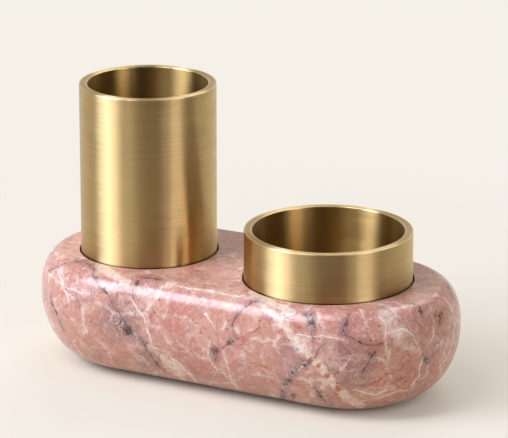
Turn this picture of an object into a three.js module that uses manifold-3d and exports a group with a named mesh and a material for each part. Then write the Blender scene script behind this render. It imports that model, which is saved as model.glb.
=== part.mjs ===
import * as THREE from "three";
import { mergeVertices } from "three/addons/utils/BufferGeometryUtils.js";
import Module from "manifold-3d";

// Twin pen holder: a polished stone block, long and round-ended, carries a tall brass cup for pens
// and a short wide brass cup for clips. Each cup stands in a blind round socket and lifts out.
// Millimetres, +Z up. The origin is on the desk under the middle of the block, and +X points
// to the short cup.

// Cups, turned from thick tube with a disc soldered into the lower end
const tallCupDiameter = 70;
const tallCupHeight = 108;
const shortCupDiameter = 85;
const shortCupHeight = 45;
const cupWall = 4.2;
const cupFloorThickness = 3.2;
const cupFloorRise = 0.5; // the floor stops this far above the tube's lower edge
const rebateWidth = 1.6; // step inside the tube's lower end, which the floor seats in
const lipEase = 0.45; // small round on both edges of the flat lip
const heelChamfer = 0.9; // lead-in round the outside of the tube's lower edge

// Stone block: the stone that is left round the cups gives its length and width
const tallEndMargin = 20.8; // from the tall cup's side to the block's end
const shortEndMargin = 25.5; // from the short cup's side to the other end
const sideMargin = 12.6; // in front of the short cup, and behind it
const cupGap = 25.9; // between the two cups
const blockHeight = 56.5;
const topEdgeInset = 11.3; // the upper edge is a quarter of an ellipse, this wide
const topEdgeDrop = 18.7; // and this high
const sideBand = 3.8; // upright band between the upper and the lower edge
const bottomEdgeInset = 27.5; // the lower edge is a larger quarter, this wide, in what height is left

// Sockets, each with a felt disc that the cup stands on
const socketDepth = 21.8;
const socketClearance = 0.7; // round each cup, seen as a fine dark line
const socketRimEase = 0.6; // small round where the socket meets the polished top
const socketCorner = 1.5; // round in the socket's lower corner, left by the cutter
const padThickness = 1.5;
const padMargin = 3; // from the cup's side in to the pad's edge

// Feet: four rubber discs, glued into shallow round recesses in the flat underside
const footDiameter = 14;
const footThickness = 2;
const footReach = 1; // how far each foot stands out below the stone
const footEdgeMargin = 3; // from the edge of the flat underside in to the foot
const footEase = 0.4; // small round on the foot's lower edge

// Seats: touching pieces keep this much clear of each other, for glue or solder
const seatGap = 0.3;

// Facets
const roundSegments = 64;
const footSegments = 32;
const edgeSteps = 10; // along each of the block's two edge ellipses
const easeSteps = 2; // along each small round

// Sizes and places worked out from the ones above
const tallCupRadius = tallCupDiameter / 2;
const shortCupRadius = shortCupDiameter / 2;
const blockLength =
  tallEndMargin + tallCupDiameter + cupGap + shortCupDiameter + shortEndMargin;
const blockHalfWidth = Math.max(tallCupRadius, shortCupRadius) + sideMargin;
const blockEndX = blockLength / 2 - blockHalfWidth; // centre of each round end
const bottomEdgeRise = blockHeight - topEdgeDrop - sideBand;
const blockBottom = footReach;
const blockTop = blockBottom + blockHeight;
const tallCupX = -blockLength / 2 + tallEndMargin + tallCupRadius;
const shortCupX = blockLength / 2 - shortEndMargin - shortCupRadius;
const socketFloor = blockTop - socketDepth;
const padBottom = socketFloor + seatGap;
const cupBottom = padBottom + padThickness + seatGap;
const footRecessTop = footThickness + seatGap;
const footCircle = blockHalfWidth - bottomEdgeInset - footEdgeMargin - footDiameter / 2;

const wasm = await Module();
wasm.setup();

function finish(color, roughness, metalness) {
  return new THREE.MeshStandardMaterial({ color, roughness, metalness });
}

const polishedMarble = finish("#d3a59c", 0.12, 0);
const brushedBrass = finish("#b89a64", 0.34, 1);
const greyFelt = finish("#4b4743", 0.95, 0);
const blackRubber = finish("#26241f", 0.8, 0);

function point(radius, height) {
  return new THREE.Vector2(radius, height);
}

// Points along a quarter of an ellipse from one point to another: it leaves the first one along
// its radius where flatFirst is true, and upright where it is false.
function quarterRound(from, to, steps, flatFirst) {
  return Array.from({ length: steps + 1 }, (_, i) => {
    const turn = (i / steps) * (Math.PI / 2);
    const early = Math.sin(turn);
    const late = 1 - Math.cos(turn);
    return point(
      from.x + (to.x - from.x) * (flatFirst ? early : late),
      from.y + (to.y - from.y) * (flatFirst ? late : early),
    );
  });
}

// Revolves a profile of (radius, height) points round +Z. The profile runs upwards on the outside.
function turned(profile, segments) {
  return new THREE.LatheGeometry(profile, segments).rotateX(Math.PI / 2);
}

function solidOf(geometry) {
  const bare = geometry.clone();
  bare.deleteAttribute("normal");
  bare.deleteAttribute("uv");
  const merged = mergeVertices(bare, 1e-4);
  return new wasm.Manifold(
    new wasm.Mesh({
      numProp: 3,
      vertProperties: merged.attributes.position.array,
      triVerts: new Uint32Array(merged.index.array),
    }),
  );
}

function geometryOf(solid) {
  const mesh = solid.getMesh();
  const geometry = new THREE.BufferGeometry();
  geometry.setAttribute("position", new THREE.BufferAttribute(mesh.vertProperties, 3));
  geometry.setIndex(new THREE.BufferAttribute(mesh.triVerts, 1));
  return geometry;
}

// Half of the block's cross-section, from the middle of its underside to the middle of its top
function blockProfile() {
  const side = blockHalfWidth;
  return [
    point(0, blockBottom),
    ...quarterRound(
      point(side - bottomEdgeInset, blockBottom),
      point(side, blockBottom + bottomEdgeRise),
      edgeSteps,
      true,
    ),
    ...quarterRound(
      point(side, blockTop - topEdgeDrop),
      point(side - topEdgeInset, blockTop),
      edgeSteps,
      false,
    ),
    point(0, blockTop),
  ];
}

// The long block: its cross-section is revolved at each end and extruded between the two
function blockSolid() {
  const half = blockProfile();
  const roundEnd = turned(half, roundSegments);
  const outline = [...half, ...half.slice(1, -1).reverse().map((p) => point(-p.x, p.y))];
  const alongX = new THREE.Matrix4().makeBasis(
    new THREE.Vector3(0, 1, 0),
    new THREE.Vector3(0, 0, 1),
    new THREE.Vector3(1, 0, 0),
  );
  const middle = new THREE.ExtrudeGeometry(new THREE.Shape(outline), {
    depth: 2 * blockEndX,
    bevelEnabled: false,
  })
    .applyMatrix4(alongX)
    .translate(-blockEndX, 0, 0);
  return solidOf(roundEnd.clone().translate(-blockEndX, 0, 0))
    .add(solidOf(middle))
    .add(solidOf(roundEnd.clone().translate(blockEndX, 0, 0)));
}

// What the cutter takes out for one cup: a flat-floored bore whose mouth flares by a small round
function socketCut(cupRadius) {
  const bore = cupRadius + socketClearance;
  const mouth = bore + socketRimEase;
  const above = blockTop + topEdgeDrop;
  return turned(
    [
      point(0, socketFloor),
      ...quarterRound(
        point(bore - socketCorner, socketFloor),
        point(bore, socketFloor + socketCorner),
        easeSteps,
        true,
      ),
      ...quarterRound(
        point(bore, blockTop - socketRimEase),
        point(mouth, blockTop),
        easeSteps,
        false,
      ),
      point(mouth, above),
      point(0, above),
    ],
    roundSegments,
  );
}

// Four foot places, at 45 degrees round the centre of each round end
function footPlaces() {
  const reach = footCircle * Math.SQRT1_2;
  return [
    ["foot_left_front", -blockEndX - reach, -reach],
    ["foot_left_back", -blockEndX - reach, reach],
    ["foot_right_front", blockEndX + reach, -reach],
    ["foot_right_back", blockEndX + reach, reach],
  ];
}

function marbleBase() {
  let stone = blockSolid();
  for (const [x, radius] of [[tallCupX, tallCupRadius], [shortCupX, shortCupRadius]]) {
    stone = stone.subtract(solidOf(socketCut(radius).translate(x, 0, 0)));
  }
  const recessRadius = footDiameter / 2 + seatGap;
  const recess = turned(
    [
      point(0, -footReach),
      point(recessRadius, -footReach),
      point(recessRadius, footRecessTop),
      point(0, footRecessTop),
    ],
    footSegments,
  );
  for (const [, x, y] of footPlaces()) {
    stone = stone.subtract(solidOf(recess.clone().translate(x, y, 0)));
  }
  return geometryOf(stone);
}

// One cup's tube: a thick wall with a flat lip, eased on both edges, and a step for the floor
function cupTube(radius, height) {
  const bore = radius - cupWall;
  const rebate = bore + rebateWidth;
  const shoulder = cupFloorRise + cupFloorThickness + seatGap;
  const outerLip = quarterRound(
    point(radius, height - lipEase),
    point(radius - lipEase, height),
    easeSteps,
    false,
  );
  const innerLip = quarterRound(
    point(bore + lipEase, height),
    point(bore, height - lipEase),
    easeSteps,
    true,
  );
  const profile = [
    point(rebate, 0),
    point(radius - heelChamfer, 0),
    point(radius, heelChamfer),
    ...outerLip,
    ...innerLip,
    point(bore, shoulder),
    point(rebate, shoulder),
    point(rebate, 0),
  ];
  return turned(profile, roundSegments);
}

function disc(radius, thickness, segments, ease = 0) {
  const lowerEdge = ease
    ? quarterRound(point(radius - ease, 0), point(radius, ease), easeSteps, true)
    : [point(radius, 0)];
  return turned(
    [point(0, 0), ...lowerEdge, point(radius, thickness), point(0, thickness)],
    segments,
  );
}

function piece(name, geometry, material, x = 0, y = 0, z = 0) {
  const mesh = new THREE.Mesh(geometry, material);
  mesh.name = name;
  mesh.position.set(x, y, z);
  return mesh;
}

function cup(name, radius, height) {
  const floorRadius = radius - cupWall + rebateWidth - seatGap;
  const floor = disc(floorRadius, cupFloorThickness, roundSegments);
  const group = new THREE.Group();
  group.add(
    piece(`${name}_tube`, cupTube(radius, height), brushedBrass),
    piece(`${name}_floor`, floor, brushedBrass, 0, 0, cupFloorRise),
  );
  return group;
}

const holder = new THREE.Group();
holder.add(piece("marble_base", marbleBase(), polishedMarble));

for (const [name, x, radius, height] of [
  ["tall_cup", tallCupX, tallCupRadius, tallCupHeight],
  ["short_cup", shortCupX, shortCupRadius, shortCupHeight],
]) {
  const standing = cup(name, radius, height);
  standing.position.set(x, 0, cupBottom);
  const pad = disc(radius - padMargin, padThickness, roundSegments);
  holder.add(standing, piece(`${name}_pad`, pad, greyFelt, x, 0, padBottom));
}

for (const [name, x, y] of footPlaces()) {
  const foot = disc(footDiameter / 2, footThickness, footSegments, footEase);
  holder.add(piece(name, foot, blackRubber, x, y));
}

export default holder;
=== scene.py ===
"""Looks for the twin pen holder: a polished block of pink marble with two brushed brass cups.

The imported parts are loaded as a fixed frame. Every piece is modelled over its own part, at that
part's size and place, and rides on the same body. Shapes and lights are worked out in metres, and
the patterns of the materials in millimetres.
"""

import math

import bpy
from mathutils import Matrix, Vector


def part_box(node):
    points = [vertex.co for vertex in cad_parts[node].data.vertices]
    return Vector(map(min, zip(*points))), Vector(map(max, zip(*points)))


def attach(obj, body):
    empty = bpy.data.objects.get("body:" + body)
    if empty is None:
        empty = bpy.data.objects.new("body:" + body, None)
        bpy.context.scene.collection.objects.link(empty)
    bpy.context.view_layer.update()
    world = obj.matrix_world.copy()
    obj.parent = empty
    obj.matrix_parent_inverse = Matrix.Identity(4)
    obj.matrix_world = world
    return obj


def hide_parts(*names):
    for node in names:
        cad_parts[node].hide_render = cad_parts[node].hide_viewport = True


bl_info = {
    "name": "Twin pen holder",
    "version": (1, 0, 0),
    "blender": (4, 5, 0),
    "location": "3D View > Sidebar > Pen holder",
    "description": "A marble block, two brass cups, their felt and rubber, and a stage",
    "category": "Object",
}

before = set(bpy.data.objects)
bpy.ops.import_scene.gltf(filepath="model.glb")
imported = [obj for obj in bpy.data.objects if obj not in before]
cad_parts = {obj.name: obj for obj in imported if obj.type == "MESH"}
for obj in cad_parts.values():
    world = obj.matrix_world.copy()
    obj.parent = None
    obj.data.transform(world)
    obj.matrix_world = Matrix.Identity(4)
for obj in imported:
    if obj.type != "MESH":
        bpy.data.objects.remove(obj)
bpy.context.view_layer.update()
MM = 0.001

# The camera, as it stood for the photograph: degrees round from the front and up, and its lens
VIEW_AZIMUTH = 27.976
VIEW_ELEVATION = 17.447
VIEW_DISTANCE = 1705.8 * MM
VIEW_AIM = Vector((3.4, 0, 81.9)) * MM
VIEW_LENS = 238.9

# The direction that the veins run through the stone
STRIKE = math.radians(28)
DIP = math.radians(17.5)

# Room for the glue round a foot, and for the solder over a cup's floor
SEAT_GAP = 0.3 * MM


def linear(code):
    """An sRGB hex colour as the linear values that a shader reads."""
    shares = [int(code[i : i + 2], 16) / 255 for i in (1, 3, 5)]
    light = [s / 12.92 if s <= 0.04045 else ((s + 0.055) / 1.055) ** 2.4 for s in shares]
    return (*light, 1.0)


def add(tree, kind, inputs=(), output=0, **settings):
    """Adds a node, sets or links its inputs, in order or by name, and gives back an output."""
    made = tree.nodes.new("ShaderNode" + kind)
    for name, value in settings.items():
        setattr(made, name, value)
    for name, value in inputs.items() if isinstance(inputs, dict) else enumerate(inputs):
        if isinstance(value, bpy.types.NodeSocket):
            tree.links.new(value, made.inputs[name])
        else:
            made.inputs[name].default_value = value
    return made.outputs[output]


def new_material(name):
    """A material with an empty tree and its output node."""
    material = bpy.data.materials.new(name)
    material.use_nodes = True
    tree = material.node_tree
    tree.nodes.clear()
    return material, tree, tree.nodes.new("ShaderNodeOutputMaterial")


def tones_of(settings):
    """The colours in a group of settings, by name."""
    return {
        name: tuple(getattr(settings, name))
        for name, setting in settings.bl_rna.properties.items()
        if setting.subtype == "COLOR"
    }


# Marble: the veins that show on the front, as routes on a plane square to the way they run.
# Each point is (millimetres to the right of the block's middle, millimetres up), and a patch or a
# knot has its radius after that.

DARK_CRACKS = [
    [(-102, 51), (-96, 54), (-87, 56), (-82, 55), (-78, 53), (-78, 49), (-74, 42), (-70, 39)],
    [(-70, 39), (-67, 34), (-62, 26), (-58, 20), (-53, 16), (-51, 12), (-47, 6), (-40, -1)],
    [(-101, 39), (-100, 34), (-97, 27), (-94, 21)],
    [(-44, 47), (-53, 48), (-57, 44), (-58, 41), (-57, 38)],
    [(6, 37), (2, 37), (-2, 34), (-5, 30), (-8, 25)],
    [(28, 31), (29, 27), (33, 26), (31, 22), (32, 19)],
    [(37, 17), (34, 13), (33, 10)],
    [(49, 31), (47, 27), (46, 22), (50, 20), (56, 17), (60, 16), (65, 17)],
    [(62, 13), (59, 8), (56, 3)],
    [(32, -5), (35, -9), (38, -12), (42, -14)],
    [(77, 37), (82, 36), (85, 34), (86, 31)],
    [(92, 31), (95, 29), (94, 25)],
    [(98, 45), (101, 42), (103, 37)],
]
WHITE_VEINS = [
    [(-102, 50), (-97, 46), (-90, 42), (-85, 40), (-80, 40)],
    [(-96, 51), (-94, 45), (-91, 36)],
    [(-59, 39), (-55, 32), (-52, 28), (-50, 21), (-48, 15)],
    [(-51, 32), (-46, 38), (-43, 43), (-40, 45), (-32, 44), (-20, 42), (-3, 39), (3, 38)],
    [(-58, 20), (-52, 15), (-48, 14), (-40, 11), (-38, 8), (-32, 2), (-26, -4)],
    [(-21, 31), (-18, 27), (-16, 23)],
    [(-12, 12), (-11, 7), (-8, -2), (-5, -7)],
    [(-23, 8), (-20, 8), (-18, 6), (-15, 2)],
    [(24, 21), (34, 20), (40, 20), (47, 19)],
    [(64, 31), (67, 27), (67, 19), (67, 13)],
    [(67, 21), (72, 23), (76, 24), (80, 21), (83, 16), (85, 8), (84, 0), (80, -5)],
    [(52, -6), (57, -8), (63, -9), (68, -6)],
    [(91, 25), (91, 20), (89, 17)],
    [(98, 38), (102, 30), (103, 22), (101, 14), (98, 8), (94, 3)],
]
PALE_BANDS = [
    [(6, 37), (10, 33), (14, 30), (17, 27), (21, 21), (24, 18), (28, 13)],
    [(28, 13), (32, 9), (36, 5), (40, 0), (44, -5), (49, -11), (56, -15)],
    [(-76, 54), (-69, 50), (-61, 46)],
    [(2, 41), (9, 37.5), (16, 34.5), (22, 32)],
    [(-42, 8), (-38, 4), (-33, -2)],
]
PALE_PATCHES = [(16, 28, 4), (69, 30, 5), (-36, 4, 4), (-74, 43, 3), (25, 16, 4)]
RUST_CRACKS = [
    [(6, 24), (0, 20), (-5, 18), (-11, 15), (-14, 12), (-16, 9), (-17, 6)],
    [(1, 6), (6, 6), (12, 3), (18, -1)],
    [(-92, 34), (-94, 31), (-91, 27)],
    [(58, -4), (63, -2), (70, 2), (77, 6)],
    [(70, -3), (77, 1), (83, 6)],
]
RUST_GRAINS = [(31, 9, 1.4), (35, 6, 1.2), (39, 1, 1.5), (44, -5, 1.8)]
SPECKLE_BANDS = [
    [(27, 7), (24, 4), (21, 1), (18, -2), (18, -12)],
    [(-68, 27), (-63, 26), (-60, 22), (-56, 19), (-53, 16)],
    [(-66, 24), (-62, 22), (-59, 19)],
    [(-7, 18), (-9, 17)],
    [(-16, 13), (-17, 9)],
    [(29, 31), (32, 25)],
    [(47, 26), (47, 22)],
    [(86, 10), (88, 8)],
]
MAUVE_PATCHES = [
    (-65, 26, 13),
    (52, 8, 14),
    (22, 10, 9),
    (58, 10, 7),
    (-50, 8, 9),
    (42, 5, 6),
    # Painted shade, low on the front where the stone curves under towards the floor
    (36, -13, 7),
]
ROSE_PATCHES = [(54, 27, 9), (38, 27, 7), (-40, 28, 12), (-90, 48, 8)]
SALMON_PATCHES = [(87, 20, 10), (6, 2, 10), (-90, 22, 9), (70, 3, 8)]
# Painted shade at the lower right end of the block, and a painted reflection of a cup's dark side
# on the top between the cups
PAINTED_SHADE_AND_REFLECTION = [(81, -6, 11), (91, 14, 7), (-8, 54, 8)]
DARK_KNOTS = [
    (-60.5, 21.5, 2.4),
    (-56, 45, 1.2),
    (-76.5, 47, 1.3),
    (-73, 41, 1.0),
    (-51, 15, 1.0),
    (-16.5, 12, 1.6),
    (-9.5, 16.5, 1.4),
    (31, 27.5, 1.4),
    (47.5, 26.5, 1.0),
    (30, 8, 1.3),
    (20, -1.5, 1.5),
    (22.5, -10.5, 1.4),
    (17, -10.5, 1.3),
    (60, 11.5, 0.8),
    (85, 32.5, 1.1),
    (95.5, 31, 0.9),
    (87, 8, 1.2),
    (83, 0.5, 0.9),
]


def fade(tree, value, full, gone, strength=1.0, within=None):
    """Strength where the value is at full or past it, 0 where it is at gone, within a share."""
    risen = add(
        tree,
        "MapRange",
        {"Value": value, "From Min": full, "From Max": gone, "To Min": strength, "To Max": 0.0},
        interpolation_type="SMOOTHSTEP",
        clamp=False,
    )
    if within is None:
        return risen
    return add(tree, "Math", (risen, within), operation="MULTIPLY")


def lay(tree, below, above, value, full, gone, strength=1.0, within=None):
    """Lays one colour over another where a value is at full or past it, and less towards gone."""
    share = fade(tree, value, full, gone, strength, within)
    return add(tree, "Mix", {0: share, 6: below, 7: above}, 2, data_type="RGBA")


def route_distance(tree, sheet, routes):
    """How far a point of the sheet lies from the nearest of some routes, in millimetres."""
    nearest = None
    for route in routes:
        for start, end in zip(route, route[1:]):
            along = Vector((*end, 0)) - Vector((*start, 0))
            step = along / along.length_squared
            away = add(tree, "VectorMath", (sheet, (*start, 0)), operation="SUBTRACT")
            reach = add(tree, "VectorMath", (away, step), 1, operation="DOT_PRODUCT")
            share = add(tree, "Math", (reach, 0), operation="MAXIMUM")
            share = add(tree, "Math", (share, 1), operation="MINIMUM")
            foot = add(tree, "VectorMath", {0: along, "Scale": share}, operation="SCALE")
            gap = add(tree, "VectorMath", (away, foot), 1, operation="DISTANCE")
            if nearest is None:
                nearest = gap
            else:
                nearest = add(tree, "Math", (nearest, gap), operation="MINIMUM")
    return nearest


def patches(tree, sheet, spots, edge, strength=1.0):
    """A share that is full inside some round patches and fades out over an edge, in millimetres."""
    share = None
    for x, y, radius in spots:
        away = add(tree, "VectorMath", (sheet, (x, y, 0)), 1, operation="DISTANCE")
        inside = fade(tree, away, radius - edge / 2, radius + edge / 2, strength)
        if share is None:
            share = inside
        else:
            share = add(tree, "Math", (share, inside), operation="MAXIMUM")
    return share


def shifted(tree, place, size, reach, detail=3.0, roughness=0.6):
    """A place moved about by noise: lumps of one size, moved by up to half the reach each way."""
    lumps = {"Vector": place, "Scale": 1 / size, "Detail": detail, "Roughness": roughness}
    push = add(tree, "TexNoise", lumps, "Color")
    push = add(tree, "VectorMath", (push, (0.5, 0.5, 0.5)), operation="SUBTRACT")
    span = (2 * reach, 2 * reach, 2 * reach)
    return add(tree, "VectorMath", (push, span, place), operation="MULTIPLY_ADD")


def vein_sheet(tree, place):
    """Place on the plane that the veins cross squarely, waved so that no vein runs straight.
    Deep in the stone the sheets wander more."""
    right = (math.cos(STRIKE), math.sin(STRIKE), 0)
    upward = (-math.sin(STRIKE) * math.sin(DIP), math.cos(STRIKE) * math.sin(DIP), math.cos(DIP))
    inward = Vector(upward).cross(Vector(right))
    waved = shifted(tree, shifted(tree, place, 7, 1.8), 2.2, 0.6)
    depth = add(tree, "VectorMath", (place, inward), 1, operation="DOT_PRODUCT")
    wander = add(tree, "TexNoise", {"Vector": place, "Scale": 1 / 45, "Detail": 1.0}, "Color")
    wander = add(tree, "VectorMath", (wander, (0.5, 0.5, 0.5)), operation="SUBTRACT")
    reach = fade(tree, depth, 70, -10, 90)
    wander = add(tree, "VectorMath", {0: wander, "Scale": reach}, operation="SCALE")
    waved = add(tree, "VectorMath", (waved, wander), operation="ADD")
    across = add(tree, "VectorMath", (waved, right), 1, operation="DOT_PRODUCT")
    height = add(tree, "VectorMath", (waved, upward), 1, operation="DOT_PRODUCT")
    return add(tree, "CombineXYZ", (across, height))


def marble_ground(tree, place, sheet, tones):
    """Clasts and shards of rose, salmon and mauve, milky clouds and a fine sugary grain."""
    swirled = shifted(tree, place, 26, 9, 3.0)
    swirled = shifted(tree, swirled, 6, 1.5, 3.0)
    cells = {"Vector": swirled, "Scale": 1 / 19}
    clast = add(tree, "RGBToBW", (add(tree, "TexVoronoi", cells, "Color"),))
    cells = {"Vector": swirled, "Scale": 1 / 8.5}
    shard = add(tree, "RGBToBW", (add(tree, "TexVoronoi", cells, "Color"),))
    lumps = {"Vector": swirled, "Scale": 1 / 15, "Detail": 4.0, "Roughness": 0.6}
    cloud = add(tree, "TexNoise", lumps)
    lumps = {"Vector": place, "Scale": 1 / 5, "Detail": 4.0, "Roughness": 0.65}
    uneven = add(tree, "TexNoise", lumps)
    greyer = patches(tree, sheet, MAUVE_PATCHES, 8)
    greyer = add(tree, "Math", (greyer, uneven), operation="MULTIPLY")
    colour = tones["rose"]
    for tone, value, full, gone, strength in (
        ("salmon", clast, 0.75, 0.3, 1.0),
        ("mauve", clast, 0.25, 0.45, 0.6),
        ("pale", shard, 0.72, 0.55, 0.35),
        ("mauve", shard, 0.28, 0.42, 0.35),
        ("salmon", cloud, 0.62, 0.46, 0.7),
        ("rose", cloud, 0.34, 0.5, 0.5),
        ("mauve", greyer, 0.55, 0.2, 0.85),
    ):
        colour = lay(tree, colour, tones[tone], value, full, gone, strength)

    # Places that are pinker or warmer than the rest, then painted shade at the lower right end and
    # a painted reflection on the top between the cups
    for share, tone in (
        (patches(tree, sheet, ROSE_PATCHES, 6, 0.75), tones["rose"]),
        (patches(tree, sheet, SALMON_PATCHES, 8, 0.6), tones["salmon"]),
        (patches(tree, sheet, PAINTED_SHADE_AND_REFLECTION, 10, 0.5), tones["deep"]),
    ):
        colour = add(tree, "Mix", {0: share, 6: colour, 7: tone}, 2, data_type="RGBA")

    # Milky clouds in three sizes, and a finer, deeper mottling
    for size, detail, roughness, tone, full, gone, strength in (
        (10, 5.0, 0.66, "pale", 0.66, 0.5, 0.7),
        (4, 5.0, 0.66, "pale", 0.68, 0.5, 0.55),
        (1.4, 5.0, 0.66, "pale", 0.7, 0.46, 0.5),
        (2.4, 4.0, 0.7, "deep", 0.3, 0.5, 0.5),
    ):
        lumps = {"Vector": swirled, "Scale": 1 / size, "Detail": detail, "Roughness": roughness}
        cloud = add(tree, "TexNoise", lumps)
        colour = lay(tree, colour, tones[tone], cloud, full, gone, strength)
    lumps = {"Vector": place, "Scale": 1.0, "Detail": 3.0, "Roughness": 0.65}
    grain = add(tree, "TexNoise", lumps)
    colour = lay(tree, colour, tones["pale"], grain, 0.72, 0.45, 0.24)
    return lay(tree, colour, tones["deep"], grain, 0.28, 0.55, 0.22)


def healed_cracks(tree, colour, place, tones):
    """Fine white cracks all through the stone, in two sizes of cell, with rust in a few."""
    lumps = {"Vector": place, "Scale": 1 / 9, "Detail": 3.0, "Roughness": 0.6}
    broken = add(tree, "TexNoise", lumps)
    crazed = shifted(tree, place, 8, 4, 4.0, 0.7)
    whiter = fade(tree, broken, 0.6, 0.45)
    rustier = fade(tree, broken, 0.38, 0.46)
    for size, width, strength in ((21, 0.06, 0.6), (9, 0.045, 0.4)):
        cells = {"Vector": crazed, "Scale": 1 / size}
        edge = add(tree, "TexVoronoi", cells, feature="DISTANCE_TO_EDGE")
        colour = lay(tree, colour, tones["white"], edge, 0.0, width, strength, whiter)
        colour = lay(tree, colour, tones["rust"], edge, 0.0, width / 2.5, 0.7, rustier)
    return colour


def cream_bands(tree, colour, sheet, ragged, cloudy, tones):
    """Broad cream bands and patches with a cloudy edge, and the rust grains in them."""
    band = route_distance(tree, sheet, PALE_BANDS)
    band = add(tree, "Math", (cloudy, 5.0, band), operation="MULTIPLY_ADD")
    cream = lay(tree, tones["cream"], tones["white"], ragged, 0.6, 0.4)
    colour = lay(tree, colour, cream, band, 3.6, 5.0, 0.8)
    spots = patches(tree, sheet, PALE_PATCHES, 3)
    colour = lay(tree, colour, tones["white"], ragged, 0.58, 0.42, 0.75, spots)
    lumpy = shifted(tree, sheet, 1.6, 1.6)
    grains = patches(tree, lumpy, RUST_GRAINS, 0.8, 0.8)
    grain_tone = lay(tree, tones["rust"], tones["light_rust"], ragged, 0.6, 0.4)
    return add(tree, "Mix", {0: grains, 6: colour, 7: grain_tone}, 2, data_type="RGBA")


def veins_and_cracks(tree, colour, place, sheet, ragged, tones):
    """White veins, a thin core in a milky border, and then the rust and the dark cracks. All of
    them swell, thin out and break off as they run."""
    spread = add(
        tree,
        "MapRange",
        {"Value": ragged, "From Min": 0.35, "From Max": 0.65, "To Min": 0.6, "To Max": 2.4},
        clamp=False,
    )
    lumps = {"Vector": place, "Scale": 1 / 4.5, "Detail": 3.0, "Roughness": 0.65}
    whole = fade(tree, add(tree, "TexNoise", lumps), 0.52, 0.42)
    vein = route_distance(tree, sheet, WHITE_VEINS)
    patchy = fade(tree, ragged, 0.6, 0.42)
    colour = lay(tree, colour, tones["pale"], vein, 0.0, 3.2, 0.55, patchy)
    core = add(tree, "Math", (vein, spread), operation="MULTIPLY")
    strength = add(tree, "Math", (whole, 0.5, 0.42), operation="MULTIPLY_ADD")
    colour = lay(tree, colour, tones["white"], core, 0.1, 0.8, within=strength)

    rust = route_distance(tree, sheet, RUST_CRACKS)
    rust = add(tree, "Math", (rust, spread), operation="MULTIPLY")
    strength = add(tree, "Math", (whole, 0.6, 0.15), operation="MULTIPLY_ADD")
    colour = lay(tree, colour, tones["rust"], rust, 0.1, 1.0, within=strength)

    dark = route_distance(tree, sheet, DARK_CRACKS)
    colour = lay(tree, colour, tones["mauve"], dark, 0.2, 2.6, 0.4)
    dark = add(tree, "Math", (dark, spread), operation="MULTIPLY")
    lumps = {"Vector": place, "Scale": 1 / 2.4, "Detail": 4.0, "Roughness": 0.75}
    dashes = fade(tree, add(tree, "TexNoise", lumps), 0.54, 0.44)
    strength = add(tree, "Math", (dashes, 0.7, 0.25), operation="MULTIPLY_ADD")
    return lay(tree, colour, tones["seam"], dark, 0.1, 0.75, within=strength)


def speckled_bands(tree, colour, place, sheet, ragged, cloudy, tones):
    """Bruised bands of crushed dark and white grains, knots of dark mineral where the seams meet,
    and small dark specks anywhere."""
    zone = route_distance(tree, sheet, SPECKLE_BANDS)
    zone = add(tree, "Math", (cloudy, 7.0, zone), operation="MULTIPLY_ADD")
    colour = lay(tree, colour, tones["bruise"], zone, 3.0, 8.0, 0.6)
    crushed = {"Vector": shifted(tree, place, 1.2, 0.8), "Scale": 1 / 0.9}
    crumb = add(tree, "RGBToBW", (add(tree, "TexVoronoi", crushed, "Color"),))
    near = fade(tree, zone, 3.6, 6.2, within=fade(tree, ragged, 0.6, 0.42))
    colour = lay(tree, colour, tones["seam"], crumb, 0.36, 0.48, 0.9, near)
    colour = lay(tree, colour, tones["white"], crumb, 0.74, 0.64, 0.6, near)

    ragged_sheet = shifted(tree, sheet, 1.0, 3.4, 4.0, 0.7)
    knots = patches(tree, ragged_sheet, DARK_KNOTS, 1.4, 0.8)
    colour = add(tree, "Mix", {0: knots, 6: colour, 7: tones["seam"]}, 2, data_type="RGBA")
    dots = add(tree, "TexVoronoi", {"Vector": place, "Scale": 1 / 7})
    return lay(tree, colour, tones["speck"], dots, 0.06, 0.11, 0.7)


def polished_marble():
    """Pink breccia marble, diamond polished. Soft clasts of salmon, rose and mauve lie in a milky
    ground, with healed white cracks, dark mineral seams and a cream band with rust grains."""
    material, tree, end = new_material("polished_pink_marble")
    settings = bpy.context.scene.pen_holder_stone
    tones = tones_of(settings)
    here = add(tree, "TexCoord", output="Object")
    place = add(tree, "VectorMath", {0: here, "Scale": 1 / MM}, operation="SCALE")
    sheet = vein_sheet(tree, place)
    lumps = {"Vector": place, "Scale": 1 / 2.6, "Detail": 4.0, "Roughness": 0.7}
    ragged = add(tree, "TexNoise", lumps)
    lumps = {"Vector": place, "Scale": 1 / 3.5, "Detail": 4.0, "Roughness": 0.7}
    cloudy = add(tree, "TexNoise", lumps)
    colour = marble_ground(tree, place, sheet, tones)
    colour = healed_cracks(tree, colour, place, tones)
    colour = cream_bands(tree, colour, sheet, ragged, cloudy, tones)
    colour = veins_and_cracks(tree, colour, place, sheet, ragged, tones)
    colour = speckled_bands(tree, colour, place, sheet, ragged, cloudy, tones)
    polish = {"Base Color": colour, "Roughness": settings.roughness, "IOR": 1.45}
    tree.links.new(add(tree, "BsdfPrincipled", polish), end.inputs["Surface"])
    return material


def brush_lines(tree, parts, radius, settings):
    """Noise drawn out along the brush's strokes: the single lines, and slow bands of them."""
    fine = MM / settings.line_width
    slow = MM / settings.stroke_length
    along = add(tree, "Math", (parts["Z"], radius), operation="ADD")
    drawn = [
        add(tree, "Math", (way, scale), operation="MULTIPLY")
        for way, scale in ((parts["X"], slow), (parts["Y"], slow), (along, fine))
    ]
    stretched = add(tree, "CombineXYZ", drawn)
    lines = {"Vector": stretched, "Scale": 1, "Detail": 3.0, "Roughness": 0.7}
    wide = add(tree, "VectorMath", (stretched, (1, 1, 0.12)), operation="MULTIPLY")
    bands = {"Vector": wide, "Scale": 1, "Detail": 2.0, "Roughness": 0.6}
    return add(tree, "TexNoise", lines), add(tree, "TexNoise", bands)


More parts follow.
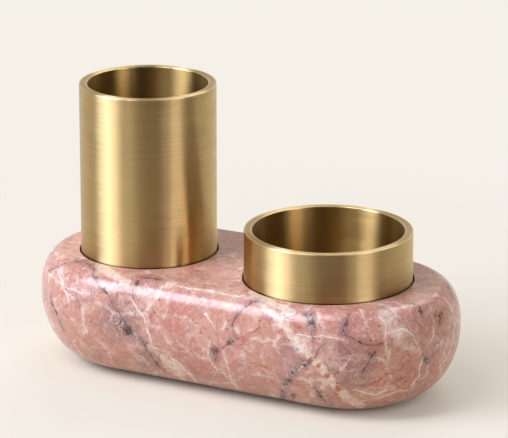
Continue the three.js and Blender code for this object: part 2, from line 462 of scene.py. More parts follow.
def lip_edges(tree, radius, height, bore, outside, top):
    """A share that is 1 on the small rounds at both edges of a cup's lip."""
    edges = None
    for edge in (bore, outside):
        away = add(tree, "Math", (radius, edge), operation="SUBTRACT")
        away = add(tree, "Math", (away,), operation="ABSOLUTE")
        close = fade(tree, away, 0.6, 0.9)
        if edges is None:
            edges = close
        else:
            edges = add(tree, "Math", (edges, close), operation="ADD")
    return fade(tree, height, top - 0.4, top - 0.6, within=edges)


def brushed_brass(name, axis_x, bore, outside, top, stone_top):
    """Yellow brass turned on a lathe and brushed round its axis: fine rings that draw every
    highlight out along the cup, under a satin sheen."""
    material, tree, end = new_material(name)
    settings = bpy.context.scene.pen_holder_brass
    tones = tones_of(settings)
    bore, outside, top, level = (size / MM for size in (bore, outside, top, stone_top))
    here = add(tree, "TexCoord", output="Object")
    centred = add(tree, "Mapping", {"Vector": here, "Location": (-axis_x, 0, 0)})
    place = add(tree, "VectorMath", {0: centred, "Scale": 1 / MM}, operation="SCALE")
    flat = add(tree, "VectorMath", (place, (1, 1, 0)), operation="MULTIPLY")
    radius = add(tree, "VectorMath", (flat,), 1, operation="LENGTH")
    split = tree.nodes.new("ShaderNodeSeparateXYZ")
    tree.links.new(place, split.inputs[0])
    parts = split.outputs
    lines, bands = brush_lines(tree, parts, radius, settings)

    # The bore and the lip's flat land are darkened as painted shade, and both edges of the lip get
    # a painted highlight
    colour = lay(tree, tones["brass"], tones["deep"], lines, 0.32, 0.68)
    # Painted shade: a tone laid over the bore's colour darkens it
    inner = fade(tree, radius, bore + 0.05, bore + 0.2)
    painted_bore_shade = {0: inner, 6: colour, 7: tones["inside"]}
    colour = add(tree, "Mix", painted_bore_shade, 2, data_type="RGBA", blend_type="MULTIPLY")
    # Painted shade: the lip's flat land a little darker
    colour = lay(tree, colour, tones["deep"], parts["Z"], top - 0.02, top - 0.1, 0.35)
    # Painted highlight: a paler colour on the small rounds at both edges of the lip
    rubbed = lip_edges(tree, radius, parts["Z"], bore, outside, top)
    colour = add(tree, "Mix", {0: rubbed, 6: colour, 7: tones["rubbed"]}, 2, data_type="RGBA")

    # Outside, painted shade: a dark line where the cup enters the stone, and darker brass below it
    sunk = fade(tree, parts["Z"], level - 0.1, level + 0.45, 0.2)
    line = add(tree, "Math", (parts["Z"], level), operation="SUBTRACT")
    line = fade(tree, add(tree, "Math", (line,), operation="ABSOLUTE"), 0.1, 0.6, 0.6)
    tarnish = add(tree, "Math", (sunk, line), operation="ADD")
    outer = add(tree, "Math", (inner, -1.0, 1.0), operation="MULTIPLY_ADD")
    tarnish = add(tree, "Math", (tarnish, outer), operation="MULTIPLY")
    colour = add(tree, "Mix", {0: tarnish, 6: colour, 7: tones["tarnish"]}, 2, data_type="RGBA")

    # The sheen varies by line and band, and the edges with the painted highlight are smoother
    dull = add(
        tree,
        "MapRange",
        {
            "Value": add(tree, "Math", (lines, bands), operation="ADD"),
            "From Min": 0.7,
            "From Max": 1.3,
            "To Min": settings.roughness - 0.05,
            "To Max": settings.roughness + 0.05,
        },
        clamp=False,
    )
    polish = add(tree, "Math", (rubbed, -0.2, 1.0), operation="MULTIPLY_ADD")
    dull = add(tree, "Math", (dull, polish), operation="MULTIPLY")

    # Each brush line turns the surface a hair to one side, which feathers a highlight's edges
    tangent = add(tree, "Tangent", direction_type="RADIAL", axis="Z")
    sway = add(tree, "Math", (lines, 0.5), operation="SUBTRACT")
    sway = add(tree, "Math", (sway, settings.sway), operation="MULTIPLY")
    calm = add(tree, "Math", (inner, -0.7, 1.0), operation="MULTIPLY_ADD")
    sway = add(tree, "Math", (sway, calm), operation="MULTIPLY")
    turned = add(tree, "VectorMath", {0: tangent, "Scale": sway}, operation="SCALE")
    shape = add(tree, "NewGeometry", output="Normal")
    turned = add(tree, "VectorMath", (turned, shape), operation="ADD")
    turned = add(tree, "VectorMath", (turned,), operation="NORMALIZE")
    relief = {"Height": lines, "Strength": 0.2, "Distance": 0.02 * MM, "Normal": turned}
    bump = add(tree, "Bump", relief)
    shader = add(
        tree,
        "BsdfPrincipled",
        {
            "Base Color": colour,
            "Metallic": 1.0,
            "Roughness": dull,
            "Anisotropic": settings.brushing,
            "Anisotropic Rotation": 0.25,
            "Tangent": tangent,
            "Normal": bump,
        },
    )
    tree.links.new(shader, end.inputs["Surface"])
    return material


def matt_and_grained(name, lumps, dark, light, strength, depth, roughness, sheen=0.0):
    """A matt material whose colour and relief both follow one fine noise, in millimetres."""
    material, tree, end = new_material(name)
    here = add(tree, "TexCoord", output="Object")
    place = add(tree, "VectorMath", {0: here, "Scale": 1 / MM}, operation="SCALE")
    grain = add(tree, "TexNoise", {"Vector": place, **lumps})
    colour = add(tree, "Mix", {0: grain, 6: linear(dark), 7: linear(light)}, 2, data_type="RGBA")
    bump = add(tree, "Bump", {"Height": grain, "Strength": strength, "Distance": depth * MM})
    finish = {"Base Color": colour, "Roughness": roughness, "Sheen Weight": sheen, "Normal": bump}
    tree.links.new(add(tree, "BsdfPrincipled", finish), end.inputs["Surface"])
    return material


def pressed_felt():
    """Pressed wool felt: short matted fibres, no sheen but a soft edge."""
    fibres = {"Scale": 1 / 0.5, "Detail": 5.0, "Roughness": 0.75, "Distortion": 1.5}
    return matt_and_grained(
        "pressed_wool_felt", fibres, "#3A3633", "#5F5954", 0.6, 0.2, 0.95, sheen=0.3
    )


def moulded_rubber():
    """Black rubber from a spark-eroded mould: matt, with a very fine even grain."""
    grain = {"Scale": 1 / 0.35, "Detail": 2.0, "Roughness": 0.6}
    return matt_and_grained("moulded_black_rubber", grain, "#1C1A18", "#2B2825", 0.3, 0.05, 0.7)


# Modelling: how near, in metres, a corner has to lie to count as on a plane, and on a circle

ON_PLANE = 1e-6
ON_CIRCLE = 1e-5


def pick(obj, mode, chosen):
    """In edit mode, selects only the edges or faces that chosen says yes to."""
    bpy.ops.mesh.select_mode(type=mode)
    bpy.ops.mesh.select_all(action="DESELECT")
    bpy.ops.object.mode_set(mode="OBJECT")
    mesh = obj.data
    for part in {"EDGE": mesh.edges, "FACE": mesh.polygons}[mode]:
        part.select = chosen(mesh, part)
    bpy.ops.object.mode_set(mode="EDIT")


def corners(mesh, part):
    """The places of an edge's or a face's corners."""
    return [mesh.vertices[i].co for i in part.vertices]


def lies_at(height):
    """Says yes to what lies flat at one height."""
    return lambda mesh, part: all(abs(c.z - height) < ON_PLANE for c in corners(mesh, part))


def ring_at(radius, height, centre_x):
    """Says yes to the edges of one level circle round a cup's axis."""

    def chosen(mesh, edge):
        return all(
            abs(c.z - height) < ON_PLANE
            and abs(math.hypot(c.x - centre_x, c.y) - radius) < ON_CIRCLE
            for c in corners(mesh, edge)
        )

    return chosen


def only(obj):
    """Leaves edit mode, and makes one object the only one selected, and active."""
    bpy.ops.object.mode_set(mode="OBJECT")
    bpy.ops.object.select_all(action="DESELECT")
    obj.select_set(True)
    bpy.context.view_layer.objects.active = obj


def apply_modifier(obj, kind, **settings):
    """Adds a modifier with its settings and applies it."""
    modifier = obj.modifiers.new(kind.lower(), kind)
    for name, value in settings.items():
        setattr(modifier, name, value)
    only(obj)
    bpy.ops.object.modifier_apply(modifier=modifier.name)


def cylinder(name, low, high, radius, x, y, sides):
    """A capped cylinder from one height to another, its place in its mesh, in edit mode."""
    bpy.ops.object.select_all(action="DESELECT")
    bpy.ops.mesh.primitive_cylinder_add(
        vertices=sides,
        radius=radius,
        depth=high - low,
        end_fill_type="NGON",
        location=(x, y, (low + high) / 2),
    )
    obj = bpy.context.object
    obj.name = name
    bpy.ops.object.transform_apply(location=True, rotation=True, scale=True)
    bpy.ops.object.mode_set(mode="EDIT")
    return obj


def ease(obj, chosen, width, segments):
    """In edit mode, rounds over the chosen edges."""
    pick(obj, "EDGE", chosen)
    bpy.ops.mesh.bevel(offset=width, segments=segments, profile=0.5)


def smooth(obj, degrees):
    """Shades an object smooth, but for the edges that are sharper than an angle."""
    only(obj)
    bpy.ops.object.shade_smooth_by_angle(angle=math.radians(degrees))


def dress(obj, material, body, slot, *nodes):
    """Gives a finished piece its material and body, and hides the CAD nodes that it stands for. The
    slot is not used.
    """
    obj.data.materials.clear()
    obj.data.materials.append(material)
    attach(obj, body)
    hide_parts(*nodes)


# Settings that a user can change


def colour_setting(name, description, code):
    """A colour, given as its sRGB hex value."""
    return bpy.props.FloatVectorProperty(
        name=name, description=description, subtype="COLOR", size=4, default=linear(code)
    )


def length_setting(name, description, millimetres):
    """A length, given in millimetres."""
    return bpy.props.FloatProperty(
        name=name, description=description, unit="LENGTH", default=millimetres * MM
    )


def share_setting(name, description, share):
    """A share from 0 to 1."""
    return bpy.props.FloatProperty(name=name, description=description, default=share, min=0, max=1)


def level_setting(name, description, level):
    """A light's brightness, or a slope."""
    return bpy.props.FloatProperty(name=name, description=description, default=level)


class StoneSettings(bpy.types.PropertyGroup):
    """Colours and sizes of the marble block"""

    rose: colour_setting("Rose", "Colour of the rose clasts", "#C78074")
    salmon: colour_setting("Salmon", "Colour of the salmon clasts", "#CD9380")
    mauve: colour_setting("Mauve", "Colour of the greyer clasts and beside the seams", "#A57C77")
    pale: colour_setting("Pale", "Colour of the milky clouds", "#E1BBAD")
    deep: colour_setting("Deep", "Colour of the darkest grain", "#A96757")
    white: colour_setting("White", "Colour of the healed cracks", "#F3E2D8")
    cream: colour_setting("Cream", "Colour of the broad bands", "#E5C2A8")
    rust: colour_setting("Rust", "Colour of the iron-stained cracks and grains", "#A9573C")
    light_rust: colour_setting("Light rust", "Paler colour in the rust grains", "#CF7E5A")
    seam: colour_setting("Seam", "Colour of the dark mineral seams", "#47322E")
    bruise: colour_setting("Bruise", "Colour of the bands of crushed grains", "#8F7472")
    speck: colour_setting("Speck", "Colour of the small specks", "#7A463C")
    roughness: share_setting("Roughness", "How far the polish falls short of a mirror", 0.21)
    edge_steps: bpy.props.IntProperty(
        name="Edge steps", description="Facets along each rounded edge", default=20, min=4
    )
    upper_edge_width: length_setting(
        "Upper edge width", "How far the upper rounded edge reaches in", 11.3
    )
    upper_edge_height: length_setting(
        "Upper edge height", "How far the upper rounded edge reaches down", 18.7
    )
    lower_edge_width: length_setting(
        "Lower edge width", "How far the lower rounded edge reaches in", 27.5
    )
    lower_edge_height: length_setting(
        "Lower edge height", "How far the lower rounded edge reaches up", 34
    )
    socket_clearance: length_setting(
        "Socket clearance", "Gap between a cup and the wall of its socket", 0.7
    )
    socket_depth: length_setting(
        "Socket depth", "From the polished top down to a socket's floor", 21.8
    )


class BrassSettings(bpy.types.PropertyGroup):
    """Colours, brush lines and sizes of the brass cups"""

    brass: colour_setting("Brass", "Colour of the brushed metal", "#E0C38B")
    deep: colour_setting("Line colour", "Colour in the deeper brush lines", "#D1B27A")
    # Painted shade: the tone that darkens the bore
    inside: colour_setting("Inside", "Tone laid over the colour in the bore", "#DDD4C0")
    # Painted shade where the cup enters its socket, and on the brass below it
    tarnish: colour_setting("Tarnish", "Colour where the brass enters the stone", "#5A3F24")
    # Painted highlight on both edges of the lip
    rubbed: colour_setting("Rubbed", "Colour of the bright edges of the lip", "#EBD5A8")
    sway: level_setting(
        "Line sway", "How far the brush lines turn the surface to one side, as a slope", 0.17
    )
    roughness: share_setting("Roughness", "Width of the satin sheen", 0.4)
    brushing: share_setting("Brushing", "How much the brush lines draw a highlight out", 1.0)
    line_width: length_setting(
        "Line width", "Width of a brush line, coarser than the real 0.1 mm so that it shows", 0.36
    )
    stroke_length: length_setting("Stroke length", "How far a brush line runs before it fades", 30)
    wall: length_setting("Wall", "Thickness of the tube", 4.2)
    rebate: length_setting("Rebate", "Width of the step that the cup's floor seats in", 1.6)
    lip_round: length_setting("Lip round", "Radius on both edges of the flat lip", 0.45)


class StageSettings(bpy.types.PropertyGroup):
    """Colours of the studio and levels of its lights"""

    floor: colour_setting("Floor", "Colour of the plain floor", "#E8DFD1")
    backdrop: colour_setting("Backdrop", "Colour seen past the floor's edge", "#F5F1E8")
    # Painted shadow: the colour of the floor close to the stone, which tints the stone's shadow
    # there
    shade: colour_setting("Shade", "Colour of the floor close to the stone", "#E9DECA")
    bounce: colour_setting("Bounce", "Colour of the light that the floor throws back", "#CDBDA4")
    floor_glow: share_setting(
        "Floor glow", "How far the floor is evened out to the backdrop near the object", 0.44
    )
    key_level: level_setting("Key level", "Brightness of the large soft light on the left", 15.9)
    fill_level: level_setting("Fill level", "Brightness of the soft light on the right", 3.6)
    high_level: level_setting("High level", "Brightness of the soft light high on the left", 8)
    back_level: level_setting("Back level", "Brightness of the soft light behind", 3.0)
    room_level: level_setting("Room level", "Brightness of the pale wall behind the object", 0.75)
    near_level: level_setting("Near level", "Brightness of the dim room on the camera's side", 0.13)


CUPS = {
    "tall_cup": {"tube": "tall_cup_tube", "floor": "tall_cup_floor", "pad": "tall_cup_pad"},
    "short_cup": {"tube": "short_cup_tube", "floor": "short_cup_floor", "pad": "short_cup_pad"},
}
FEET = ("foot_left_front", "foot_left_back", "foot_right_front", "foot_right_back")


def disc_of(node):
    """Centre, radius, lowest and highest point of a round CAD node."""
    low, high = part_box(node)
    return (low.x + high.x) / 2, (low.y + high.y) / 2, (high.x - low.x) / 2, low.z, high.z


class PENHOLDER_OT_stone_block(bpy.types.Operator):
    """Models the marble block with its rounded edges, sockets and foot recesses"""

    bl_idname = "penholder.stone_block"
    bl_label = "Stone block"

    def execute(self, context):
        settings = context.scene.pen_holder_stone
        low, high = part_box("marble_base")
        block = self.blank(low, high)
        for level, width, height in (
            (high.z, settings.upper_edge_width, settings.upper_edge_height),
            (low.z, settings.lower_edge_width, settings.lower_edge_height),
        ):
            # The edge is eased round in a squeezed block, so that it comes out as an ellipse
            self.stretch(level, width / height)
            ease(block, lies_at(level), width, settings.edge_steps)
            self.stretch(level, height / width)
        bpy.ops.object.mode_set(mode="OBJECT")

        for cup in CUPS.values():
            x, _, radius, _, _ = disc_of(cup["tube"])
            bore = radius + settings.socket_clearance
            self.cut(block, self.socket_cutter(x, bore, high.z - settings.socket_depth, high.z))
        for foot in FEET:
            x, y, radius, bottom, top = disc_of(foot)
            bottom, top, radius = bottom - SEAT_GAP, top + SEAT_GAP, radius + SEAT_GAP
            self.cut(block, cylinder("recess", bottom, top, radius, x, y, sides=64))
        smooth(block, degrees=40)
        apply_modifier(block, "WEIGHTED_NORMAL", keep_sharp=True)
        dress(block, polished_marble(), "base", "stone", "marble_base")
        return {"FINISHED"}

    @staticmethod
    def blank(low, high):
        """The long block with square edges: half of a round, drawn out to the middle and
        mirrored, and left in edit mode."""
        end_x = high.x - high.y
        block = cylinder("marble_block", low.z, high.z, high.y, -end_x, 0, sides=128)
        bpy.ops.mesh.select_all(action="SELECT")
        bpy.ops.mesh.bisect(plane_co=(-end_x, 0, 0), plane_no=(1, 0, 0), clear_outer=True)
        pick(
            block,
            "EDGE",
            lambda mesh, edge: all(abs(c.x + end_x) < ON_PLANE for c in corners(mesh, edge)),
        )
        bpy.ops.mesh.extrude_edges_move(TRANSFORM_OT_translate={"value": (end_x, 0, 0)})
        apply_modifier(block, "MIRROR", use_axis=(True, False, False))
        bpy.ops.object.mode_set(mode="EDIT")
        bpy.ops.mesh.select_all(action="SELECT")
        bpy.ops.mesh.dissolve_limited(angle_limit=math.radians(0.5))
        return block

    @staticmethod
    def stretch(level, factor):
        """In edit mode, stretches the whole mesh upwards from one level."""
        bpy.ops.mesh.select_all(action="SELECT")
        bpy.ops.transform.resize(value=(1, 1, factor), center_override=(0, 0, level))

    @staticmethod
    def socket_cutter(x, radius, floor, top):
        """A round cutter that leaves a small round in the corner and a softly rounded mouth."""
        corner = 1.5 * MM
        flare = 0.6 * MM
        steps = 5
        cutter = cylinder("socket_cutter", floor, top - flare, radius, x, 0, sides=160)
        ease(cutter, lies_at(floor), corner, steps)
        pick(cutter, "FACE", lies_at(top - flare))
        wide, high = radius, 0
        for i in range(1, steps + 1):
            turn = math.pi / 2 * i / steps
            wider, higher = radius + flare * (1 - math.cos(turn)), flare * math.sin(turn)
            bpy.ops.mesh.extrude_region_move(
                TRANSFORM_OT_translate={"value": (0, 0, higher - high)}
            )
            ratio = wider / wide
            bpy.ops.transform.resize(value=(ratio, ratio, 1), center_override=(x, 0, top))
            wide, high = wider, higher
        bpy.ops.mesh.extrude_region_move(TRANSFORM_OT_translate={"value": (0, 0, 2 * flare)})
        return cutter

    @staticmethod
    def cut(block, cutter):
        """Takes a cutter's shape out of the block."""
        apply_modifier(block, "BOOLEAN", operation="DIFFERENCE", object=cutter, solver="EXACT")
        bpy.data.objects.remove(cutter)


class PENHOLDER_OT_cup_tubes(bpy.types.Operator):
    """Turns the two brass tubes, with their flat eased lips and the step for the floor"""

    bl_idname = "penholder.cup_tubes"
    bl_label = "Cup tubes"

    def execute(self, context):
        settings = context.scene.pen_holder_brass
        lip_round = settings.lip_round
        stone_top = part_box("marble_base")[1].z
        for body, cup in CUPS.items():
            x, _, radius, low, high = disc_of(cup["tube"])
            bore = radius - settings.wall
            step = bore + settings.rebate
            shoulder = disc_of(cup["floor"])[4] + SEAT_GAP
            tube = cylinder(f"{body}_brass_tube", low, high, radius, x, 0, sides=192)
            for level, inner in ((high, bore), (low, step)):
                pick(tube, "FACE", lies_at(level))
                bpy.ops.mesh.inset(thickness=radius - inner, use_even_offset=True)
                bpy.ops.mesh.extrude_region_move(
                    TRANSFORM_OT_translate={"value": (0, 0, shoulder - level)}
                )
            pick(tube, "FACE", lies_at(shoulder))
            bpy.ops.mesh.delete(type="ONLY_FACE")
            pick(tube, "EDGE", lies_at(shoulder))
            bpy.ops.mesh.bridge_edge_loops()
            ease(tube, ring_at(radius, high, x), lip_round, 4)
            ease(tube, ring_at(bore, high, x), lip_round, 4)
            ease(tube, ring_at(radius, low, x), 2 * lip_round, 2)
            smooth(tube, degrees=30)
            apply_modifier(tube, "WEIGHTED_NORMAL", keep_sharp=True)
            material = brushed_brass(f"{body}_brushed_brass", x, bore, radius, high, stone_top)
            dress(tube, material, body, "brass", cup["tube"])
        return {"FINISHED"}


class PENHOLDER_OT_cup_floors(bpy.types.Operator):
    """Turns the two brass discs that close the tubes"""

    bl_idname = "penholder.cup_floors"
    bl_label = "Cup floors"

    def execute(self, context):
        edge_round = 0.25 * MM
        for body, cup in CUPS.items():
            x, _, radius, low, high = disc_of(cup["floor"])
            floor = cylinder(f"{body}_brass_floor", low, high, radius, x, 0, sides=128)
            for level in (low, high):
                ease(floor, ring_at(radius, level, x), edge_round, 2)
            pick(floor, "FACE", lies_at(high))
            bpy.ops.mesh.inset(thickness=radius * 0.3)
            smooth(floor, degrees=30)
            material = bpy.data.materials[f"{body}_brushed_brass"]
            dress(floor, material, body, "brass", cup["floor"])
        return {"FINISHED"}


class PENHOLDER_OT_felt_pads(bpy.types.Operator):
    """Cuts the two felt discs that the cups stand on"""

    bl_idname = "penholder.felt_pads"
    bl_label = "Felt pads"

    def execute(self, context):
        edge_round = 0.5 * MM
        felt = pressed_felt()
        for body, cup in CUPS.items():
            x, _, radius, low, high = disc_of(cup["pad"])
            pad = cylinder(f"{body}_felt_disc", low, high, radius, x, 0, sides=96)
            ease(pad, ring_at(radius, high, x), edge_round, 4)
            smooth(pad, degrees=50)
            dress(pad, felt, "base", "felt", cup["pad"])
        return {"FINISHED"}


class PENHOLDER_OT_rubber_feet(bpy.types.Operator):
    """Moulds one rubber foot and copies it to the four recesses"""

    bl_idname = "penholder.rubber_feet"
    bl_label = "Rubber feet"

    def execute(self, context):
        edge_round = 0.4 * MM
        groove_width = 0.2 * MM
        groove_depth = 0.15 * MM
        rubber = moulded_rubber()
        x0, y0, radius, low, high = disc_of(FEET[0])
        first = cylinder("rubber_" + FEET[0], low, high, radius, x0, y0, sides=64)
        ease(first, lies_at(low), edge_round, 3)
        pick(first, "FACE", lies_at(low))
        bpy.ops.mesh.inset(thickness=radius * 0.25)
        bpy.ops.mesh.inset(thickness=groove_width, depth=-groove_depth)
        smooth(first, degrees=50)
        feet = [first]
        for node in FEET[1:]:
            x, y, _, _, _ = disc_of(node)
            twin = first.copy()
            twin.data = first.data.copy()
            twin.name = "rubber_" + node
            twin.data.transform(Matrix.Translation((x - x0, y - y0, 0)))
            context.scene.collection.objects.link(twin)
            feet.append(twin)
        for foot, node in zip(feet, FEET):
            dress(foot, rubber, "base", "rubber", node)
        return {"FINISHED"}


# Stage. The soft lights have a name, a place as degrees to the camera's right and degrees up, a
# distance, width and height in metres, a setting for their level, a share of it, and a colour.

SOFT_LIGHTS = (
    ("key_soft_box", (-73, 40), 2.6, 1.2, 1.0, "key_level", 1.0, "#E8EDFF"),
    ("key_soft_foot", (-79, 15), 2.6, 1.2, 1.25, "key_level", 0.31, "#D2E4FF"),
    ("fill_soft_box", (49, 14), 3.0, 1.1, 1.3, "fill_level", 0.75, "#FBFAFF"),
    ("fill_soft_wing", (46, 14), 3.0, 2.4, 1.3, "fill_level", 0.35, "#FBFAFF"),
    ("high_soft_box", (-50, 62), 2.4, 0.6, 0.9, "high_level", 1.0, "#FFFFFF"),
    ("back_soft_box", (158, 48), 2.4, 1.3, 0.9, "back_level", 1.0, "#FFFFFF"),
)
LIGHTS_AIM = Vector((0, 0, 60)) * MM

# The pale wall behind the object: its middle, and the cosines from there at which it is at its
# palest and has given way to the dim room
WALL_MIDDLE = (180, 8)
WALL_PALEST = 0.95
WALL_END = 0.2
ROOM_TINT = "#FFF9F0"


def toward(azimuth_from_camera, elevation):
    """A unit vector from the object, by degrees to the camera's right and degrees up."""
    turn = math.radians(VIEW_AZIMUTH + azimuth_from_camera)
    rise = math.radians(elevation)
    return Vector(
        (math.sin(turn) * math.cos(rise), -math.cos(turn) * math.cos(rise), math.sin(rise))
    )


def hide_from(obj, *rays):
    """Keeps an object out of some kinds of ray."""
    for ray in rays:
        setattr(obj, "visible_" + ray, False)


def soft_light(name, direction, distance, width, height, level, colour):
    """A rectangular soft box that faces the object, at a given brightness of its face."""
    lamp = bpy.data.lights.new(name, "AREA")
    lamp.shape = "RECTANGLE"
    lamp.size = width
    lamp.size_y = height
    lamp.energy = level * math.pi * width * height
    lamp.color = linear(colour)[:3]
    box = bpy.data.objects.new(name, lamp)
    box.location = LIGHTS_AIM + direction * distance
    box.rotation_euler = direction.to_track_quat("Z", "Y").to_euler()
    hide_from(box, "camera")
    bpy.context.scene.collection.objects.link(box)


def background_share(tree):
    """1 for the rays that show the plain background: the camera's, and those off gloss or
    through glass."""
    path = tree.nodes.new("ShaderNodeLightPath").outputs
    share = add(tree, "Math", (path["Is Camera Ray"], path["Is Glossy Ray"]), operation="MAXIMUM")
    return add(tree, "Math", (share, path["Is Transmission Ray"]), operation="MAXIMUM")


class PENHOLDER_OT_stage(bpy.types.Operator):
    """Sets the plain floor, the soft lights, the room and the camera"""

    bl_idname = "penholder.stage"
    bl_label = "Stage"

    def execute(self, context):
        scene = context.scene
        settings = scene.pen_holder_stage
        self.floor(settings, scene.pen_holder_stone.lower_edge_width)
        self.room(scene, settings)
        self.flag()
        self.drape(settings)
        for name, place, distance, width, height, level, share, colour in SOFT_LIGHTS:
            brightness = share * getattr(settings, level)
            soft_light(name, toward(*place), distance, width, height, brightness, colour)
        self.camera(scene)
        scene.view_settings.view_transform = "Standard"
        return {"FINISHED"}

    @staticmethod
    def floor(settings, lower_edge_width):
        """Matt paper that glows like the backdrop far off, and not in the gap under the stone."""
        bpy.ops.object.select_all(action="DESELECT")
        bpy.ops.mesh.primitive_plane_add(size=14, location=(0, 0, 0))
        plane = bpy.context.object
        plane.name = "studio_floor"
        material, tree, end = new_material("matt_studio_paper")
        tones = tones_of(settings)
        seen = background_share(tree)

        # How far a place lies from the line between the centres of the block's round ends
        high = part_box("marble_base")[1]
        side = high.y
        here = add(tree, "TexCoord", output="Object")
        folded = add(tree, "VectorMath", (here,), operation="ABSOLUTE")
        folded = add(tree, "VectorMath", (folded, (high.x - side, 0, 0)), operation="SUBTRACT")
        folded = add(tree, "VectorMath", (folded, (0, 0, 0)), operation="MAXIMUM")
        away = add(tree, "VectorMath", (folded,), 1, operation="LENGTH")

        # Painted shadow: the floor close to the stone takes its own colour, which tints the stone's
        # shadow
        paper = lay(tree, tones["floor"], tones["shade"], away, side - 10 * MM, side + 25 * MM)
        paper = add(tree, "Mix", {0: seen, 6: tones["bounce"], 7: paper}, 2, data_type="RGBA")
        matt = {"Base Color": paper, "Roughness": 0.9, "Specular IOR Level": 0.1}
        shader = add(tree, "BsdfPrincipled", matt)
        sole = side - lower_edge_width
        open_floor = fade(tree, away, sole + 14.5 * MM, sole - 1.5 * MM)
        near_glow = settings.floor_glow
        near = fade(tree, away, side + 25 * MM, side - 65 * MM, near_glow, open_floor)
        far = fade(tree, away, 450 * MM, side + 40 * MM, 1 - near_glow)
        share = add(tree, "Math", (near, far), operation="ADD")
        share = add(tree, "Math", (seen, share), operation="MULTIPLY")
        glow = add(tree, "Emission", {"Color": tones["backdrop"], "Strength": 1.0})
        both = add(tree, "MixShader", (share, shader, glow))
        tree.links.new(both, end.inputs["Surface"])
        plane.data.materials.append(material)

    @staticmethod
    def flag():
        """A grey card laid on the floor before the camera's view, so that brass shows depth."""
        near, far, width = 0.13, 2.3, 4.0
        grey = linear("#7C7265")
        middle = toward(0, 0) * ((near + far) / 2)
        bpy.ops.object.select_all(action="DESELECT")
        bpy.ops.mesh.primitive_plane_add(
            size=1,
            location=(middle.x, middle.y, 2 * MM),
            rotation=(0, 0, math.radians(VIEW_AZIMUTH)),
        )
        card = bpy.context.object
        card.name = "dark_card"
        card.scale = (width, far - near, 1)
        hide_from(card, "camera", "shadow", "diffuse")
        material, tree, end = new_material("matt_grey_card")
        shader = add(tree, "BsdfPrincipled", {"Base Color": grey, "Roughness": 1})
        tree.links.new(shader, end.inputs["Surface"])
        card.data.materials.append(material)

    @staticmethod
    def drape(settings):
        """A dim cloth hung round the camera's side, which thins out towards the pale wall behind.
        Only the gloss of the brass and the stone shows it."""
        radius = 6.5
        thinness = 0.68
        bpy.ops.object.select_all(action="DESELECT")
        bpy.ops.mesh.primitive_uv_sphere_add(segments=96, ring_count=48, radius=radius)
        cloth = bpy.context.object
        cloth.name = "dim_drape"
        bpy.ops.object.mode_set(mode="EDIT")
        bpy.ops.mesh.select_all(action="SELECT")
        bpy.ops.mesh.bisect(plane_co=(0, 0, 3 * MM), plane_no=(0, 0, 1), clear_inner=True)
        bpy.ops.object.mode_set(mode="OBJECT")
        hide_from(cloth, "camera", "diffuse", "shadow")
        material, tree, end = new_material("thin_dim_cloth")
        here = add(tree, "TexCoord", output="Object")
        way = add(tree, "VectorMath", (here,), operation="NORMALIZE")
        wall = toward(*WALL_MIDDLE)
        behind = add(tree, "VectorMath", (way, wall), 1, operation="DOT_PRODUCT")
        thin = fade(tree, behind, WALL_PALEST, WALL_END, thinness)
        dim = add(tree, "Emission", {"Color": linear(ROOM_TINT), "Strength": settings.near_level})
        both = add(tree, "MixShader", (thin, dim, add(tree, "BsdfTransparent")))
        tree.links.new(both, end.inputs["Surface"])
        material.cycles.emission_sampling = "NONE"
        cloth.data.materials.append(material)

    @staticmethod
    def room(scene, settings):
        """Pale to the camera; to all else a pale wall behind and a dim room on the near side."""
        scene.world = bpy.data.worlds.new("studio_room")
        scene.world.use_nodes = True
        tree = scene.world.node_tree
        tree.nodes.clear()
        end = tree.nodes.new("ShaderNodeOutputWorld")
        way = add(tree, "TexCoord", output="Generated")
        wall = toward(*WALL_MIDDLE)
        behind = add(tree, "VectorMath", (way, wall), 1, operation="DOT_PRODUCT")
        level = add(
            tree,
            "MapRange",
            {
                "Value": behind,
                "From Min": WALL_END,
                "From Max": WALL_PALEST,
                "To Min": settings.near_level,
                "To Max": settings.room_level,
            },
            interpolation_type="SMOOTHSTEP",
        )
        lit = add(tree, "Background", {"Color": linear(ROOM_TINT), "Strength": level})
        shown = add(tree, "Background", {"Color": tuple(settings.backdrop), "Strength": 1.0})
        both = add(tree, "MixShader", (background_share(tree), lit, shown))
        tree.links.new(both, end.inputs["Surface"])

    @staticmethod
    def camera(scene):
        """The camera at the photograph's place and angle."""
        lens = bpy.data.cameras.new("camera")
        lens.sensor_width = 36
        lens.lens = VIEW_LENS
        lens.clip_end = 50
        camera = bpy.data.objects.new("camera", lens)
        back = toward(0, VIEW_ELEVATION)
        camera.location = VIEW_AIM + back * VIEW_DISTANCE
        camera.rotation_euler = back.to_track_quat("Z", "Y").to_euler()
        scene.collection.objects.link(camera)
        scene.camera = camera


class PENHOLDER_PT_panel(bpy.types.Panel):
    """Lists the pieces to build and the settings of each group"""

    bl_label = "Twin pen holder"
    bl_idname = "PENHOLDER_PT_panel"
    bl_space_type = "VIEW_3D"
    bl_region_type = "UI"
    bl_category = "Pen holder"

    def draw(self, context):
        for operator in OPERATORS:
            self.layout.operator(operator.bl_idname)
        for group in SETTINGS:
            box = self.layout.box()
            held = getattr(context.scene, group)
            for name in held.bl_rna.properties.keys():
                if name not in ("rna_type", "name"):
                    box.prop(held, name)


OPERATORS = (
    PENHOLDER_OT_stage,
    PENHOLDER_OT_stone_block,
    PENHOLDER_OT_cup_tubes,
    PENHOLDER_OT_cup_floors,
    PENHOLDER_OT_felt_pads,
    PENHOLDER_OT_rubber_feet,
)
SETTINGS = {
    "pen_holder_stone": StoneSettings,
    "pen_holder_brass": BrassSettings,
    "pen_holder_stage": StageSettings,
}
CLASSES = (*SETTINGS.values(), *OPERATORS, PENHOLDER_PT_panel)


def register():
    for cls in CLASSES:
        bpy.utils.register_class(cls)
    for name, group in SETTINGS.items():
        setattr(bpy.types.Scene, name, bpy.props.PointerProperty(type=group))


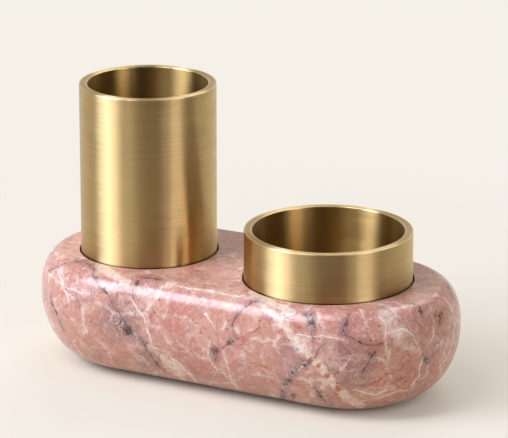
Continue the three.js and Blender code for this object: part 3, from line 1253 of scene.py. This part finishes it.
def unregister():
    for name in SETTINGS:
        delattr(bpy.types.Scene, name)
    for cls in reversed(CLASSES):
        bpy.utils.unregister_class(cls)


def main():
    register()
    bpy.ops.penholder.stage()
    bpy.ops.penholder.stone_block()
    bpy.ops.penholder.cup_tubes()
    bpy.ops.penholder.cup_floors()
    bpy.ops.penholder.felt_pads()
    bpy.ops.penholder.rubber_feet()


if __name__ == "__main__":
    main()
